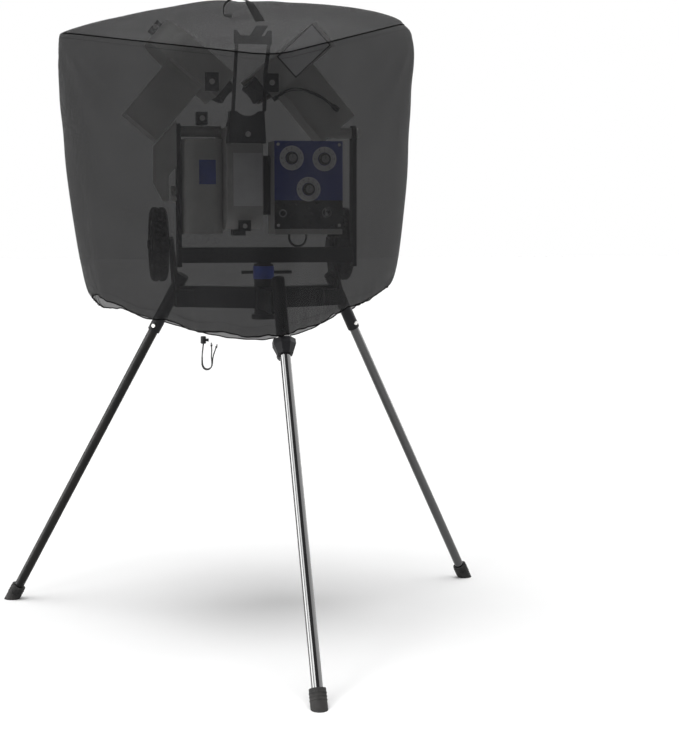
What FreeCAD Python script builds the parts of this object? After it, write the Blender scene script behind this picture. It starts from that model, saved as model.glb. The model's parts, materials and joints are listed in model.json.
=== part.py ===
import FreeCAD, Part
import math
import os

# Three-wheel ball pitching machine on a tripod, under a fitted fabric cover.
# Millimetres. +Z up, +Y the way the ball is thrown, X across the machine.
# Shapes are made about the swivel axis, and ORIGIN_Y moves them all so that the
# origin lies on the floor, in the middle of the whole footprint.

V = FreeCAD.Vector
X_AXIS = V(1, 0, 0)
Y_AXIS = V(0, 1, 0)
Z_AXIS = V(0, 0, 1)

# Tripod.
LEG_ANGLES = {"front": 270, "left": 150, "right": 30}
SOCKET_TOP_R, SOCKET_TOP_Z = 235, 925
FOOT_R = 775
TUBE_R, TUBE_WALL = 13, 2.5
SOCKET_R, SOCKET_LENGTH = 16.5, 170
FOOT_RADIUS, FOOT_HEIGHT = 19.5, 46
COLLAR_SIDES, COLLAR_TOP_R, COLLAR_BOTTOM_R, CLAMP_SCREW_R = 8, 30, 20, 4
FIT = 0.05
ARM_WIDTH, ARM_Z = 36, (844, 900)
COLUMN_R, COLUMN_Z = 25, (816, 961)
POST_R = 19
FLANGE_R, FLANGE_HEIGHT = 32, 12
SLEEVE_R, SLEEVE_Z = 27.5, (922, 956)
LOCK_Z, LOCK_BAR_Y, LOCK_ROD_R = 938, 40, 4.5
LOCK_BAR_X = (-53, 82)

# Transport wheels.
WHEEL_X, WHEEL_Y, WHEEL_Z = 256, 230, 1010
TYRE_R, TYRE_WIDTH, RIM_R = 102, 44, 64
AXLE_R = 8
CARRIER_X = (216, 225)

# Yoke.
BEAM_X, BEAM_HALF_Y, BEAM_Z = (-216, 235), 20, (965, 1005)
UPRIGHT_LEFT_X, UPRIGHT_RIGHT_X = (-228, -217), (236, 247)
UPRIGHT_HALF_Y, UPRIGHT_BOTTOM_Z = 20, 954
TILT_Z = 1305
PIVOT_R = 8

# Throwing head. A wheel unit is made with u away from the ball's path, y along
# it and v along the wheel's axle, then turned about the ball's path.
BALL_X, BALL_Z, BALL_R = -65, 1374, 36.5
THROW_R, THROW_WIDTH, THROW_U = 112, 52, 146
GROOVE = 3
HUB_R, SHAFT_R = 30, 8
WALL = 3
GUARD_Y, GUARD_U0 = 122, 62
UNITS = {
    # name: direction in degrees, half width, tip, tip rounding, motor's side
    "left": (140, 37.5, 280, 100, 1),
    "right": (40, 37.5, 278, 35, -1),
    "bottom": (270, 46.5, 322, 60, -1),
}
MOTOR_R, MOTOR_V0 = 38, 56
UPPER_MOTOR_END, LOWER_MOTOR_END = 190, 140
COVER_U, COVER_HALF_Y, UPPER_COVER_END = (103, 211), 58, 212
LOWER_COVER_X, LOWER_COVER_Z = (-213, -112), (1040, 1284)
LOWER_COVER_HALF_Y, LOWER_COVER_ROUND = 68, 34
LEAD_HOLE_R = 14

# Head frame and its latches.
PIVOT_BOSS_R, PIVOT_BORE_LEFT, PIVOT_BORE_RIGHT = 14, 27, 19
SKIRT_Y, SKIRT_THICK = -56, 4
TAB_Y, TAB_Z = (-100, -70), (1090, 1240)
FLANGE_BOLT_X, FLANGE_BOLT_Z, FLANGE_Y = (-150, 2), 1421, -141
LATCH_V = {"left": -10, "right": -14, "bottom": -2}
LATCH_HALF, LATCH_PLATE, LATCH_REACH = 16, 4, 24
PIVOT_CLAMP_X = (-181, -153)

# Control box.
BOX_X, BOX_Y, BOX_Z = (3, 178), (-165, -66), (1040, 1275)
PANEL_THICK, PANEL_BOTTOM = 4, 1054
DIALS = {"left": (47, 1232), "right": (131, 1230), "lower": (90, 1154)}
KNOB_R, KNOB_LENGTH, KNOB_SHAFT_R = 15, 15, 3
BREAKER, SWITCH = (24, 1093), (137, 1095)
BREAKER_R, SWITCH_BALL_R, SWITCH_PIN = 6, 4.2, 4.7
INLET_Y, INLET_Z, INLET_R = -112, 1080, 13

# Feeder, at the operator's side of the ball's path.
CUP_Y, CUP_Z = (-176, -132), (1268, 1347)
CUP_TOP_X, CUP_BOTTOM_X = (-109, -23), (-115, -19)
NOTCH_R = 39
FRAME_Y = (-172, -166)

# Fabric cover: corners of its seam and hem, as (x, y, z).
FABRIC = 2.5
CROWN = V(-63, 20, 1652)
SEAM_LEFT, SEAM_RIGHT = V(-525, 0, 1550), V(404, 0, 1594)
SEAM_FRONT = V(-45, -467, 1458)
SEAM_BACK_LEFT, SEAM_BACK_RIGHT = V(-455, 385, 1500), V(342, 385, 1500)
HEM_LEFT, HEM_RIGHT = V(-457, 0, 881), V(349, 0, 899)
HEM_FRONT_Z, HEM_BACK_LEFT_Z, HEM_BACK_RIGHT_Z = 787, 828, 800
BACK_POINT = V(0, 360, 870)
HEM_BACK_LOW = (-50, 728)
HEM_DROOP = 26
STRAP_X, STRAP_Y, STRAP_RISE, STRAP_WIDTH, STRAP_THICK = (-117, -15), -130, 46, 25, 3
CORD_LOCK = V(-193, -279, 784)
CORD_R, KNOT_R = 1.5, 3.4
CORD_SIDE = V(0.988, -0.156, 0)
# Each drawcord tail: its place in Y beside the lock, and its route as
# (sideways, up) from where it leaves the lock.
DRAWCORDS = {
    "a": (-3, [(0, 0), (-1.4, -12), (-3.5, -25), (-4.2, -38.5), (-4.5, -52), (-0.8, -61.3), (8, -65),
               (16.8, -61.3), (20.3, -52.5), (19.4, -40.5), (18.8, -28), (20.1, -15.5), (19.3, -4)]),
    "b": (3, [(0, 0), (-1.2, -12), (-3, -25), (-2.6, -38.5), (-2.2, -51), (1.5, -60), (10, -63.5),
              (18.6, -60), (22.2, -51), (22.6, -39.5), (24.6, -28.5), (28.6, -18), (32, -8.5)]),
}

# A foot is cut by the floor to an ellipse, long in the leg's direction. The
# footprint runs from the front foot's toe to the rear feet's back edge.
FOOT_LONG_R = FOOT_RADIUS / math.cos(math.atan2(FOOT_R - SOCKET_TOP_R, SOCKET_TOP_Z))
TOE_Y = -FOOT_R - FOOT_LONG_R
HEEL_Y = FOOT_R / 2 + math.hypot(FOOT_LONG_R / 2, FOOT_RADIUS * math.cos(math.radians(30)))
ORIGIN_Y = -(TOE_Y + HEEL_Y) / 2

PARTS = {}


def box(x, y, z):
    """A block between pairs of limits."""
    return Part.makeBox(x[1] - x[0], y[1] - y[0], z[1] - z[0], V(x[0], y[0], z[0]))


def rod(start, end, radius):
    """A round bar from one point to another."""
    return Part.makeCylinder(radius, (end - start).Length, start, end - start)


def pipe(start, end, outer, inner):
    """A round tube with open ends."""
    along = (end - start).normalize()
    return rod(start, end, outer).cut(rod(start - along, end + along, inner))


def plate(points, thickness):
    """A flat outline made thick along a vector."""
    return Part.Face(Part.makePolygon(points + points[:1])).extrude(thickness)


def fuse(shapes):
    """Several touching shapes as one solid."""
    whole = shapes[0]
    for shape in shapes[1:]:
        whole = whole.fuse(shape)
    return whole.removeSplitter()


def cut(shape, tools):
    """A shape without the space of others."""
    for tool in tools:
        shape = shape.cut(tool)
    return shape


def group(shapes):
    """Separate solids that share one node."""
    return Part.makeCompound([s for shape in shapes for s in shape.Solids])


def polar(radius, angle, z):
    """A point at a distance and direction from the swivel axis."""
    a = math.radians(angle)
    return V(radius * math.cos(a), radius * math.sin(a), z)


def rounded(x, y, z, radius):
    """A block whose four upright edges are rounded."""
    block = box(x, y, z)
    upright = [e for e in block.Edges if abs(e.tangentAt(e.FirstParameter).z) > 0.9]
    return block.makeFillet(radius, upright)


def cord_path(points, name):
    """Straight runs joined by arcs as large as the runs allow."""
    edges, start, radii = [], points[0], []
    for before, at, after in zip(points, points[1:], points[2:]):
        back, on = before - at, after - at
        turn = math.pi - back.getAngle(on)
        reach = 0.45 * min(back.Length, on.Length)
        radii.append(reach / math.tan(turn / 2))
        back, on = back.normalize(), on.normalize()
        enter, leave = at + back * reach, at + on * reach
        half = (back + on).normalize()
        centre = at + half * (radii[-1] / math.cos(turn / 2))
        edges.append(Part.LineSegment(start, enter).toShape())
        edges.append(Part.Arc(enter, centre - half * radii[-1], leave).toShape())
        start = leave
    edges.append(Part.LineSegment(start, points[-1]).toShape())
    print(name, "radii", [round(r, 1) for r in radii])
    return Part.Wire(edges)


def cord(points, radius, name):
    """A round cord along a path of runs and arcs."""
    path = cord_path(points, name)
    ring = Part.Circle(points[0], points[1] - points[0], radius).toShape()
    tube = path.makePipeShell([Part.Wire(ring)], True, True)
    wanted = math.pi * radius**2 * path.Length
    print(name, "length", round(path.Length, 1), "volume", round(tube.Volume / wanted, 4))
    return tube


def leg_line(name):
    """The top of a leg's axis, and the way down it."""
    top = polar(SOCKET_TOP_R, LEG_ANGLES[name], SOCKET_TOP_Z)
    foot = polar(FOOT_R, LEG_ANGLES[name], 0)
    return top, (foot - top).normalize(), (foot - top).Length


def tripod():
    """Hub, arms, sockets, legs, feet and what clamps them."""
    column = rod(V(0, 0, COLUMN_Z[0]), V(0, 0, COLUMN_Z[1]), COLUMN_R)
    flange = rod(V(0, 0, COLUMN_Z[0]), V(0, 0, COLUMN_Z[0] + FLANGE_HEIGHT), FLANGE_R)
    bore = rod(V(0, 0, COLUMN_Z[0] + 6), V(0, 0, COLUMN_Z[1] + 1), POST_R + FIT)
    screw_hole = rod(V(0, POST_R - 2, LOCK_Z), V(0, SLEEVE_R + 2, LOCK_Z), LOCK_ROD_R + FIT)
    PARTS["hub_column"] = cut(fuse([column, flange]), [bore, screw_hole])
    sleeve = pipe(V(0, 0, SLEEVE_Z[0]), V(0, 0, SLEEVE_Z[1]), SLEEVE_R, COLUMN_R)
    PARTS["column_sleeve"] = sleeve.cut(screw_hole)

    arms, sockets, screws = [], [], []
    for name, angle in LEG_ANGLES.items():
        top, down, length = leg_line(name)
        outside = rod(top - down * 6, top + down * SOCKET_LENGTH, SOCKET_R)
        hollow = rod(top + down * 6, top + down * (SOCKET_LENGTH + 1), TUBE_R + FIT)
        sockets.append(outside.cut(hollow))
        arm = box((0, SOCKET_TOP_R + 8), (-ARM_WIDTH / 2, ARM_WIDTH / 2), ARM_Z)
        inside = box((0, SOCKET_TOP_R + 8), (4 - ARM_WIDTH / 2, ARM_WIDTH / 2 - 4),
                     (ARM_Z[0] + 4, ARM_Z[1] - 4))
        arm = arm.cut(inside)
        arm.rotate(V(0, 0, 0), Z_AXIS, angle)
        arms.append(cut(arm, [column, outside]))

        tube_top, tube_end = top + down * 6.5, top + down * (length - 12)
        PARTS["leg_tube_" + name] = pipe(tube_top, tube_end, TUBE_R, TUBE_R - TUBE_WALL)
        rubber = rod(top + down * (length - FOOT_HEIGHT), top + down * (length + 20), FOOT_RADIUS)
        rubber = rubber.cut(rod(top + down * (length - FOOT_HEIGHT - 1), tube_end, TUBE_R))
        below = box((-1000, 1000), (-1000, 1000), (-60, 0))
        PARTS["foot_" + name] = rubber.cut(below)

        if name != "front":
            side = polar(1, angle, 0).cross(Z_AXIS)
            side = side if side.y < 0 else -side
            at = top + down * (SOCKET_LENGTH - 16)
            screws.append(rod(at + side * (SOCKET_R), at + side * (SOCKET_R + 4), 5))
            screws.append(rod(at - side * (SOCKET_R), at - side * (SOCKET_R + 4), 5))
    PARTS["base_arms"] = group(arms)
    PARTS["leg_sockets"] = group(sockets)
    PARTS["clamp_screws"] = group(screws)
    front_collar()


def front_collar():
    """The faceted collar on the front leg, and the hand screw behind it."""
    top, down, _ = leg_line("front")
    behind = X_AXIS.cross(down).normalize()
    rings = []
    for along, radius in ((SOCKET_LENGTH - 4, COLLAR_TOP_R), (SOCKET_LENGTH + 9, COLLAR_TOP_R),
                          (SOCKET_LENGTH + 34, COLLAR_BOTTOM_R)):
        corners = []
        for i in range(COLLAR_SIDES):
            turn = 2 * math.pi * (i + 0.5) / COLLAR_SIDES
            out = X_AXIS * math.cos(turn) + behind * math.sin(turn)
            corners.append(top + down * along + out * radius)
        rings.append(Part.makePolygon(corners + corners[:1]))
    middle = top + down * (SOCKET_LENGTH + 16)
    boss = rod(middle + behind * 14, middle + behind * 34, 10)
    ring = fuse([Part.makeLoft(rings, True, True), boss])
    socket = rod(top, top + down * SOCKET_LENGTH, SOCKET_R)
    leg = rod(top, top + down * (SOCKET_LENGTH + 60), TUBE_R + FIT)
    screw_hole = rod(middle + behind * 10, middle + behind * 40, CLAMP_SCREW_R + FIT)
    PARTS["front_collar"] = cut(ring, [socket, leg, screw_hole])
    screw = rod(middle + behind * (TUBE_R + 0.5), middle + behind * 36, CLAMP_SCREW_R)
    grip = rod(middle + behind * 34.5, middle + behind * 48, 13)
    PARTS["collar_knob"] = fuse([screw, grip])


def transport():
    """The two wheels that the folded machine rolls on, and what carries them."""
    carriers = []
    for name, side in (("left", -1), ("right", 1)):
        hub = V(side * WHEEL_X, WHEEL_Y, WHEEL_Z)
        half = TYRE_WIDTH / 2
        tyre = rod(hub - X_AXIS * half, hub + X_AXIS * half, TYRE_R)
        tyre = tyre.makeFillet(9, [e for e in tyre.Edges if e.Curve.TypeId == "Part::GeomCircle"])
        tyre = tyre.cut(rod(hub - X_AXIS * (half + 1), hub + X_AXIS * (half + 1), RIM_R))
        PARTS["tyre_" + name] = tyre
        web = rod(hub - X_AXIS * 6, hub + X_AXIS * 6, RIM_R - 5)
        band = pipe(hub - X_AXIS * (half - 3), hub + X_AXIS * (half - 3), RIM_R, RIM_R - 6)
        boss = rod(hub - X_AXIS * (half - 2), hub + X_AXIS * (half - 2), 20)
        axle_bore = rod(hub - X_AXIS * half, hub + X_AXIS * half, AXLE_R + FIT)
        PARTS["rim_" + name] = cut(fuse([web, band, boss]), [axle_bore])
        flat = (side * CARRIER_X[0], side * CARRIER_X[1])
        outline = [V(min(flat), 60, 846), V(min(flat), 150, 846), V(min(flat), 262, 1000),
                   V(min(flat), 240, 1030), V(min(flat), 212, 1024), V(min(flat), 60, 892)]
        arm = plate(outline, X_AXIS * (CARRIER_X[1] - CARRIER_X[0]))
        inner = side * (CARRIER_X[1] - 1)
        axle = rod(V(inner, WHEEL_Y, WHEEL_Z), V(side * (WHEEL_X + half + 4), WHEEL_Y, WHEEL_Z), AXLE_R)
        nut = rod(V(side * (WHEEL_X + half + 1), WHEEL_Y, WHEEL_Z),
                  V(side * (WHEEL_X + half + 8), WHEEL_Y, WHEEL_Z), 12)
        link = box((min(side * 178, side * 218), max(side * 178, side * 218)), (60, 100), (848, 890))
        carrier = fuse([arm, axle, nut, link])
        carriers.append(cut(carrier, [PARTS["base_arms"], PARTS["leg_sockets"]]))
    PARTS["axle_carriers"] = group([c.Solids[0] if len(c.Solids) == 1 else
                                    max(c.Solids, key=lambda s: s.Volume) for c in carriers])


def yoke():
    """The swivelling fork, its pivot pins, and the swivel lock."""
    beam = box(BEAM_X, (-BEAM_HALF_Y, BEAM_HALF_Y), BEAM_Z)
    inside = box(BEAM_X, (3 - BEAM_HALF_Y, BEAM_HALF_Y - 3), (BEAM_Z[0] + 3, BEAM_Z[1] - 3))
    post = rod(V(0, 0, COLUMN_Z[0] + 7), V(0, 0, BEAM_Z[0] + 1), POST_R)
    PARTS["yoke_beam"] = fuse([beam.cut(inside), post])
    for name, x in (("left", UPRIGHT_LEFT_X), ("right", UPRIGHT_RIGHT_X)):
        bar = box(x, (-UPRIGHT_HALF_Y, UPRIGHT_HALF_Y), (UPRIGHT_BOTTOM_Z, TILT_Z))
        head = rod(V(x[0], 0, TILT_Z), V(x[1], 0, TILT_Z), UPRIGHT_HALF_Y)
        pin = rod(V(x[0] - 1, 0, TILT_Z), V(x[1] + 1, 0, TILT_Z), PIVOT_R)
        PARTS["upright_" + name] = fuse([bar, head]).cut(pin)
    left_in, right_in = UPRIGHT_LEFT_X[1] + 26, UPRIGHT_RIGHT_X[0] - 18
    left = rod(V(UPRIGHT_LEFT_X[0], 0, TILT_Z), V(left_in, 0, TILT_Z), PIVOT_R)
    right = rod(V(right_in, 0, TILT_Z), V(UPRIGHT_RIGHT_X[1], 0, TILT_Z), PIVOT_R)
    caps = [rod(V(UPRIGHT_LEFT_X[0] - 6, 0, TILT_Z), V(UPRIGHT_LEFT_X[0], 0, TILT_Z), 13),
            rod(V(UPRIGHT_RIGHT_X[1], 0, TILT_Z), V(UPRIGHT_RIGHT_X[1] + 6, 0, TILT_Z), 13)]
    PARTS["pivot_pins"] = group([fuse([left, caps[0]]), fuse([right, caps[1]])])

    screw = rod(V(0, POST_R + 0.5, LOCK_Z), V(0, LOCK_BAR_Y, LOCK_Z), LOCK_ROD_R)
    boss = rod(V(0, SLEEVE_R + 1, LOCK_Z), V(0, LOCK_BAR_Y + 5, LOCK_Z), 9)
    bar = rod(V(LOCK_BAR_X[0], LOCK_BAR_Y, LOCK_Z), V(LOCK_BAR_X[1], LOCK_BAR_Y, LOCK_Z), LOCK_ROD_R)
    PARTS["swivel_lock"] = fuse([screw, boss, bar])

    lever_x = UPRIGHT_LEFT_X[0]
    hub = rod(V(lever_x - 0.5, 0, 1153), V(lever_x - 14, 0, 1153), 11)
    tip = V(lever_x - 12, -52, 1131)
    arm = rod(V(lever_x - 9, 0, 1153), tip, 5)
    PARTS["tilt_lever"] = fuse([hub, arm, Part.makeSphere(8, tip)])


def place(shape, name):
    """Turn a wheel unit's piece from its own frame to its place on the head."""
    shape = shape.copy()
    shape.rotate(V(0, 0, 0), Y_AXIS, -UNITS[name][0])
    shape.translate(V(BALL_X, 0, BALL_Z))
    return shape


def guard_block(tip, half_depth, half_width, rounding, start):
    """A wheel guard's outer form, open end at start, rounded at the tip."""
    block = box((start, tip), (-half_depth, half_depth), (-half_width, half_width))
    corners = [e for e in block.Edges
               if abs(e.CenterOfMass.x - tip) < 0.1 and abs(e.CenterOfMass.z) < 0.1]
    return block.makeFillet(rounding, corners)


def wheel_units():
    """Guards, throwing wheels, hubs, motors and their covers."""
    motors, covers = [], []
    for name, (angle, half, tip, rounding, side) in UNITS.items():
        outer = guard_block(tip, GUARD_Y, half, rounding, GUARD_U0)
        inner = guard_block(tip - WALL, GUARD_Y - WALL, half - WALL, rounding - WALL, GUARD_U0 - 1)
        shaft_hole = rod(V(THROW_U, 0, 0), V(THROW_U, 0, side * (half + 1)), 14)
        PARTS["guard_" + name] = place(cut(outer, [inner, shaft_hole]), name)

        w = THROW_WIDTH / 2
        profile = Part.Wire([
            Part.LineSegment(V(HUB_R, 0, -w), V(THROW_R - 4, 0, -w)).toShape(),
            Part.LineSegment(V(THROW_R - 4, 0, -w), V(THROW_R, 0, 4 - w)).toShape(),
            Part.Arc(V(THROW_R, 0, 4 - w), V(THROW_R - GROOVE, 0, 0), V(THROW_R, 0, w - 4)).toShape(),
            Part.LineSegment(V(THROW_R, 0, w - 4), V(THROW_R - 4, 0, w)).toShape(),
            Part.LineSegment(V(THROW_R - 4, 0, w), V(HUB_R, 0, w)).toShape(),
            Part.LineSegment(V(HUB_R, 0, w), V(HUB_R, 0, -w)).toShape()])
        tread = Part.Face(profile).revolve(V(0, 0, 0), Z_AXIS, 360)
        tread.translate(V(THROW_U, 0, 0))
        PARTS["wheel_" + name] = place(tread, name)

        hub = rod(V(THROW_U, 0, -w), V(THROW_U, 0, w), HUB_R)
        shaft = rod(V(THROW_U, 0, 0), V(THROW_U, 0, side * (MOTOR_V0 + 20)), SHAFT_R)
        PARTS["wheel_hub_" + name] = place(fuse([hub, shaft]), name)

        end = LOWER_MOTOR_END if name == "bottom" else UPPER_MOTOR_END
        motor = rod(V(THROW_U, 0, side * MOTOR_V0), V(THROW_U, 0, side * end), MOTOR_R)
        bearing = rod(V(THROW_U, 0, side * (MOTOR_V0 - 1)), V(THROW_U, 0, side * (MOTOR_V0 + 21)),
                      SHAFT_R + FIT)
        motors.append(place(motor.cut(bearing), name))

        if name != "bottom":
            v = sorted((side * half, side * UPPER_COVER_END))
            shell = box(COVER_U, (-COVER_HALF_Y, COVER_HALF_Y), v)
            v_in = sorted((side * (half - 1), side * (UPPER_COVER_END - WALL)))
            hollow = box((COVER_U[0] + WALL, COVER_U[1] - WALL),
                         (WALL - COVER_HALF_Y, COVER_HALF_Y - WALL), v_in)
            covers.append(place(shell.cut(hollow), name))
    PARTS["motors"] = group(motors)
    PARTS["motor_covers_upper"] = group(covers)

    depth = (-LOWER_COVER_HALF_Y, LOWER_COVER_HALF_Y)
    shell = rounded(LOWER_COVER_X, depth, LOWER_COVER_Z, LOWER_COVER_ROUND)
    hollow = rounded((LOWER_COVER_X[0] + WALL, LOWER_COVER_X[1] - WALL), (depth[0] + WALL, depth[1] - WALL),
                     (LOWER_COVER_Z[0] + WALL, LOWER_COVER_Z[1] - WALL), LOWER_COVER_ROUND - WALL)
    wall = V(LOWER_COVER_X[1], 0, BALL_Z - THROW_U)
    passage = rod(wall - X_AXIS * 10, wall + X_AXIS, LEAD_HOLE_R)
    PARTS["motor_cover_lower"] = cut(shell, [hollow, passage])


def head_frame():
    """What carries the head on its pivots, and the side skirts."""
    pin_left, pin_right = V(UPRIGHT_LEFT_X[1], 0, TILT_Z), V(UPRIGHT_RIGHT_X[0], 0, TILT_Z)
    left = rod(pin_left + X_AXIS, V(BALL_X - UNITS["bottom"][1], 0, TILT_Z), PIVOT_BOSS_R)
    left = left.cut(rod(pin_left, pin_left + X_AXIS * PIVOT_BORE_LEFT, PIVOT_R + FIT))
    right = rod(V(150, 0, TILT_Z), pin_right - X_AXIS, PIVOT_BOSS_R)
    right = right.cut(rod(pin_right - X_AXIS * PIVOT_BORE_RIGHT, pin_right, PIVOT_R + FIT))
    v = sorted((UNITS["right"][4] * UNITS["right"][1], UNITS["right"][4] * UPPER_COVER_END))
    filled = place(box(COVER_U, (-COVER_HALF_Y, COVER_HALF_Y), v), "right")
    right = right.cut(filled)
    right = max(right.Solids, key=lambda s: s.CenterOfMass.x)
    PARTS["pivot_arms"] = group([left, right])

    y = SKIRT_Y
    outline = [V(-292, y, 1262), V(-232, y, 1331), V(-232, y, 1212), V(-252, y, 1190),
               V(-252, y, 1124), V(-268, y, 1124), V(-292, y, 1170)]
    solid_left = place(box(COVER_U, (-COVER_HALF_Y, COVER_HALF_Y),
                           (UNITS["left"][1], UPPER_COVER_END + 20)), "left")
    PARTS["side_skirt"] = plate(outline, Y_AXIS * SKIRT_THICK).cut(solid_left)

    brackets = [box((BALL_X + UNITS["bottom"][1], BOX_X[0]), TAB_Y, TAB_Z)]
    bolts = []
    y, z = FLANGE_Y, FLANGE_BOLT_Z
    for x in FLANGE_BOLT_X:
        inward = 1 if x < BALL_X else -1
        face = box((x - 17, x + 17), (y, y + LATCH_PLATE), (z - 23, z + 23))
        foot_x = sorted((x + inward * 13, x + inward * 17))
        foot = box(foot_x, (y + LATCH_PLATE, -GUARD_Y), (z - 23, z + 23))
        brackets.append(fuse([face, foot]))
        bolts.append(rod(V(x, y, z), V(x, y - 5, z), 7))
    return brackets, bolts


def control_box():
    """The switch box, its panel, dials' knobs, switch and breaker."""
    shell = box(BOX_X, BOX_Y, BOX_Z)
    hollow = box((BOX_X[0] + WALL, BOX_X[1] - WALL), (BOX_Y[0] - 1, BOX_Y[1] - WALL),
                 (PANEL_BOTTOM, BOX_Z[1] - WALL))
    PARTS["control_box"] = shell.cut(hollow)
    face = BOX_Y[0] - PANEL_THICK
    panel = box(BOX_X, (face, BOX_Y[0]), (PANEL_BOTTOM, BOX_Z[1]))
    holes = []
    for name, (x, z) in DIALS.items():
        holes.append(rod(V(x, face - 1, z), V(x, BOX_Y[0] + 1, z), KNOB_SHAFT_R + FIT))
        cap = rod(V(x, face - 1, z), V(x, face - 1 - KNOB_LENGTH, z), KNOB_R)
        shaft = rod(V(x, face - 2, z), V(x, BOX_Y[0] + 12, z), KNOB_SHAFT_R)
        PARTS["dial_knob_" + name] = fuse([cap, shaft])
    x, z = BREAKER
    holes.append(rod(V(x, face - 1, z), V(x, BOX_Y[0] + 1, z), BREAKER_R + FIT))
    PARTS["breaker_button"] = rod(V(x, face - 8, z), V(x, BOX_Y[0] + 4, z), BREAKER_R)
    x, z = SWITCH
    holes.append(box((x - 5, x + 5), (face - 1, BOX_Y[0] + 1), (z - 9, z + 9)))
    pivot = V(x, face + 2, z)
    bat = rod(pivot, pivot + V(0, -17, 6), 3)
    pin = rod(pivot - X_AXIS * SWITCH_PIN, pivot + X_AXIS * SWITCH_PIN, 1.5)
    PARTS["power_switch"] = fuse([Part.makeSphere(SWITCH_BALL_R, pivot), bat, pin])
    PARTS["control_panel"] = cut(panel, holes)
    screws = []
    for x in (BOX_X[0] + 9, BOX_X[1] - 9):
        for z in (PANEL_BOTTOM + 9, BOX_Z[1] - 9):
            screws.append(rod(V(x, face, z), V(x, face - 3, z), 4))
    return screws


def feeder():
    """The cup that the ball is put in, and the frame that stands over it."""
    front, back = CUP_Y
    outline = [V(CUP_BOTTOM_X[0], front, CUP_Z[0]), V(CUP_BOTTOM_X[1], front, CUP_Z[0]),
               V(CUP_TOP_X[1], front, CUP_Z[1]), V(CUP_TOP_X[0], front, CUP_Z[1])]
    block = plate(outline, V(0, back - front, 0))
    groove = rod(V(BALL_X, front - 1, BALL_Z), V(BALL_X, back + 1, BALL_Z), NOTCH_R)
    relief = box((-105, -25), (front + 6, back + 1), (CUP_Z[0] - 1, CUP_Z[1] - 20))
    PARTS["feed_cup"] = cut(block, [groove, relief])

    y = FRAME_Y[0]
    deep = V(0, FRAME_Y[1] - FRAME_Y[0], 0)
    rails = [
        plate([V(-106, y, CUP_Z[1]), V(-97, y, CUP_Z[1]), V(-87, y, 1515), V(-95, y, 1515)], deep),
        plate([V(-27, y, CUP_Z[1]), V(-18, y, CUP_Z[1]), V(-15, y, 1440), V(-5, y, 1515),
               V(-14, y, 1515), V(-24, y, 1440)], deep)]
    yoke_plate = plate([V(-98, y, 1512), V(-3, y, 1512), V(-3, y, 1546), V(-13, y, 1546),
                        V(-20, y, 1533), V(-82, y, 1533), V(-90, y, 1546), V(-98, y, 1546)], deep)
    tab = plate([V(-60, y, 1530), V(-30, y, 1530), V(-12, y, 1558), V(-42, y, 1558)], deep)
    PARTS["feed_frame"] = fuse(rails + [yoke_plate, tab])
    return [rod(V(BALL_X, front, 1290), V(BALL_X, front - 5, 1290), 7)]


def fasteners(brackets, bolts):
    """Latch brackets on the guards, and every bolt head on the throwing head."""
    for name, v in LATCH_V.items():
        tip = UNITS[name][2]
        width = (v - LATCH_HALF, v + LATCH_HALF)
        block = box((tip, tip + 16), (-26, 26), width)
        slot = box((tip + LATCH_PLATE, tip + 17), (-22, 27), (v - 12, v + 12))
        latch = block.cut(slot)
        head = V(tip + 9, -26, v)
        if name == "bottom":
            face_y = (-GUARD_Y - LATCH_PLATE, -GUARD_Y)
            under = box((tip, tip + LATCH_PLATE), (face_y[0], -20), width)
            face = box((tip - LATCH_REACH, tip + LATCH_PLATE), face_y, width)
            latch = fuse([latch, under, face])
            head = V(tip - 9, face_y[0], v)
        brackets.append(place(latch, name))
        bolts.append(place(rod(head, head - Y_AXIS * 5, 6), name))
    x = sum(PIVOT_CLAMP_X) / 2
    low = TILT_Z + PIVOT_BOSS_R
    clamp = box(PIVOT_CLAMP_X, (-70, -40), (low, low + 32))
    arm = box((x - 8, x + 8), (-40, -8), (low, low + 8))
    brackets.append(fuse([clamp, arm]))
    bolts.append(rod(V(x, -70, low + 16), V(x, -75, low + 16), 7))
    PARTS["head_brackets"] = group(brackets)
    PARTS["head_bolts"] = group(bolts)


def cables():
    """The leads that the head holds along their whole length."""
    y, top, drop = -150, BOX_Z[0], 8
    x0, x1, r = 43, 87, 3
    half = (x1 - x0) / 2
    edges = [Part.LineSegment(V(x0, y, top), V(x0, y, top - drop)).toShape(),
             Part.Arc(V(x0, y, top - drop), V(x0 + half, y, top - drop - half),
                      V(x1, y, top - drop)).toShape(),
             Part.LineSegment(V(x1, y, top - drop), V(x1, y, top)).toShape()]
    ring = Part.Circle(V(x0, y, top), V(0, 0, 1), r).toShape()
    PARTS["panel_cable"] = Part.Wire(edges).makePipeShell([Part.Wire(ring)], True, True)

    face = -COVER_HALF_Y - 7.5
    route = [V(27, face, 1392), V(58, face, 1412), V(96, face, 1412), V(140, face, 1396),
             V(172, face, 1372)]
    PARTS["motor_cable"] = cord(route, 3.5, "motor_cable")
    end = route[-1]
    way = (route[-1] - route[-2]).normalize()
    gland = rod(end, end + way * 20, 7)
    start_way = (route[0] - route[1]).normalize()
    start = rod(route[0], route[0] + start_way * 12, 7)
    side = BOX_X[1]
    inlet = pipe(V(side, INLET_Y, INLET_Z), V(side + 14, INLET_Y, INLET_Z), INLET_R, 9)
    inlet = fuse([inlet, rod(V(side, INLET_Y, INLET_Z), V(side + 3, INLET_Y, INLET_Z), INLET_R)])
    PARTS["cable_glands"] = group([gland, start.cut(PARTS["guard_right"]), inlet])


def plane_point(plane_a, plane_b, z):
    """The point at one height that lies on two planes, each given by three points."""
    rows = []
    for a, b, c in (plane_a, plane_b):
        n = (b - a).cross(c - a)
        rows.append((n.x, n.y, n.dot(a) - n.z * z))
    (a1, b1, c1), (a2, b2, c2) = rows
    det = a1 * b2 - a2 * b1
    return V((c1 * b2 - c2 * b1) / det, (a1 * c2 - a2 * c1) / det, z)


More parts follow.
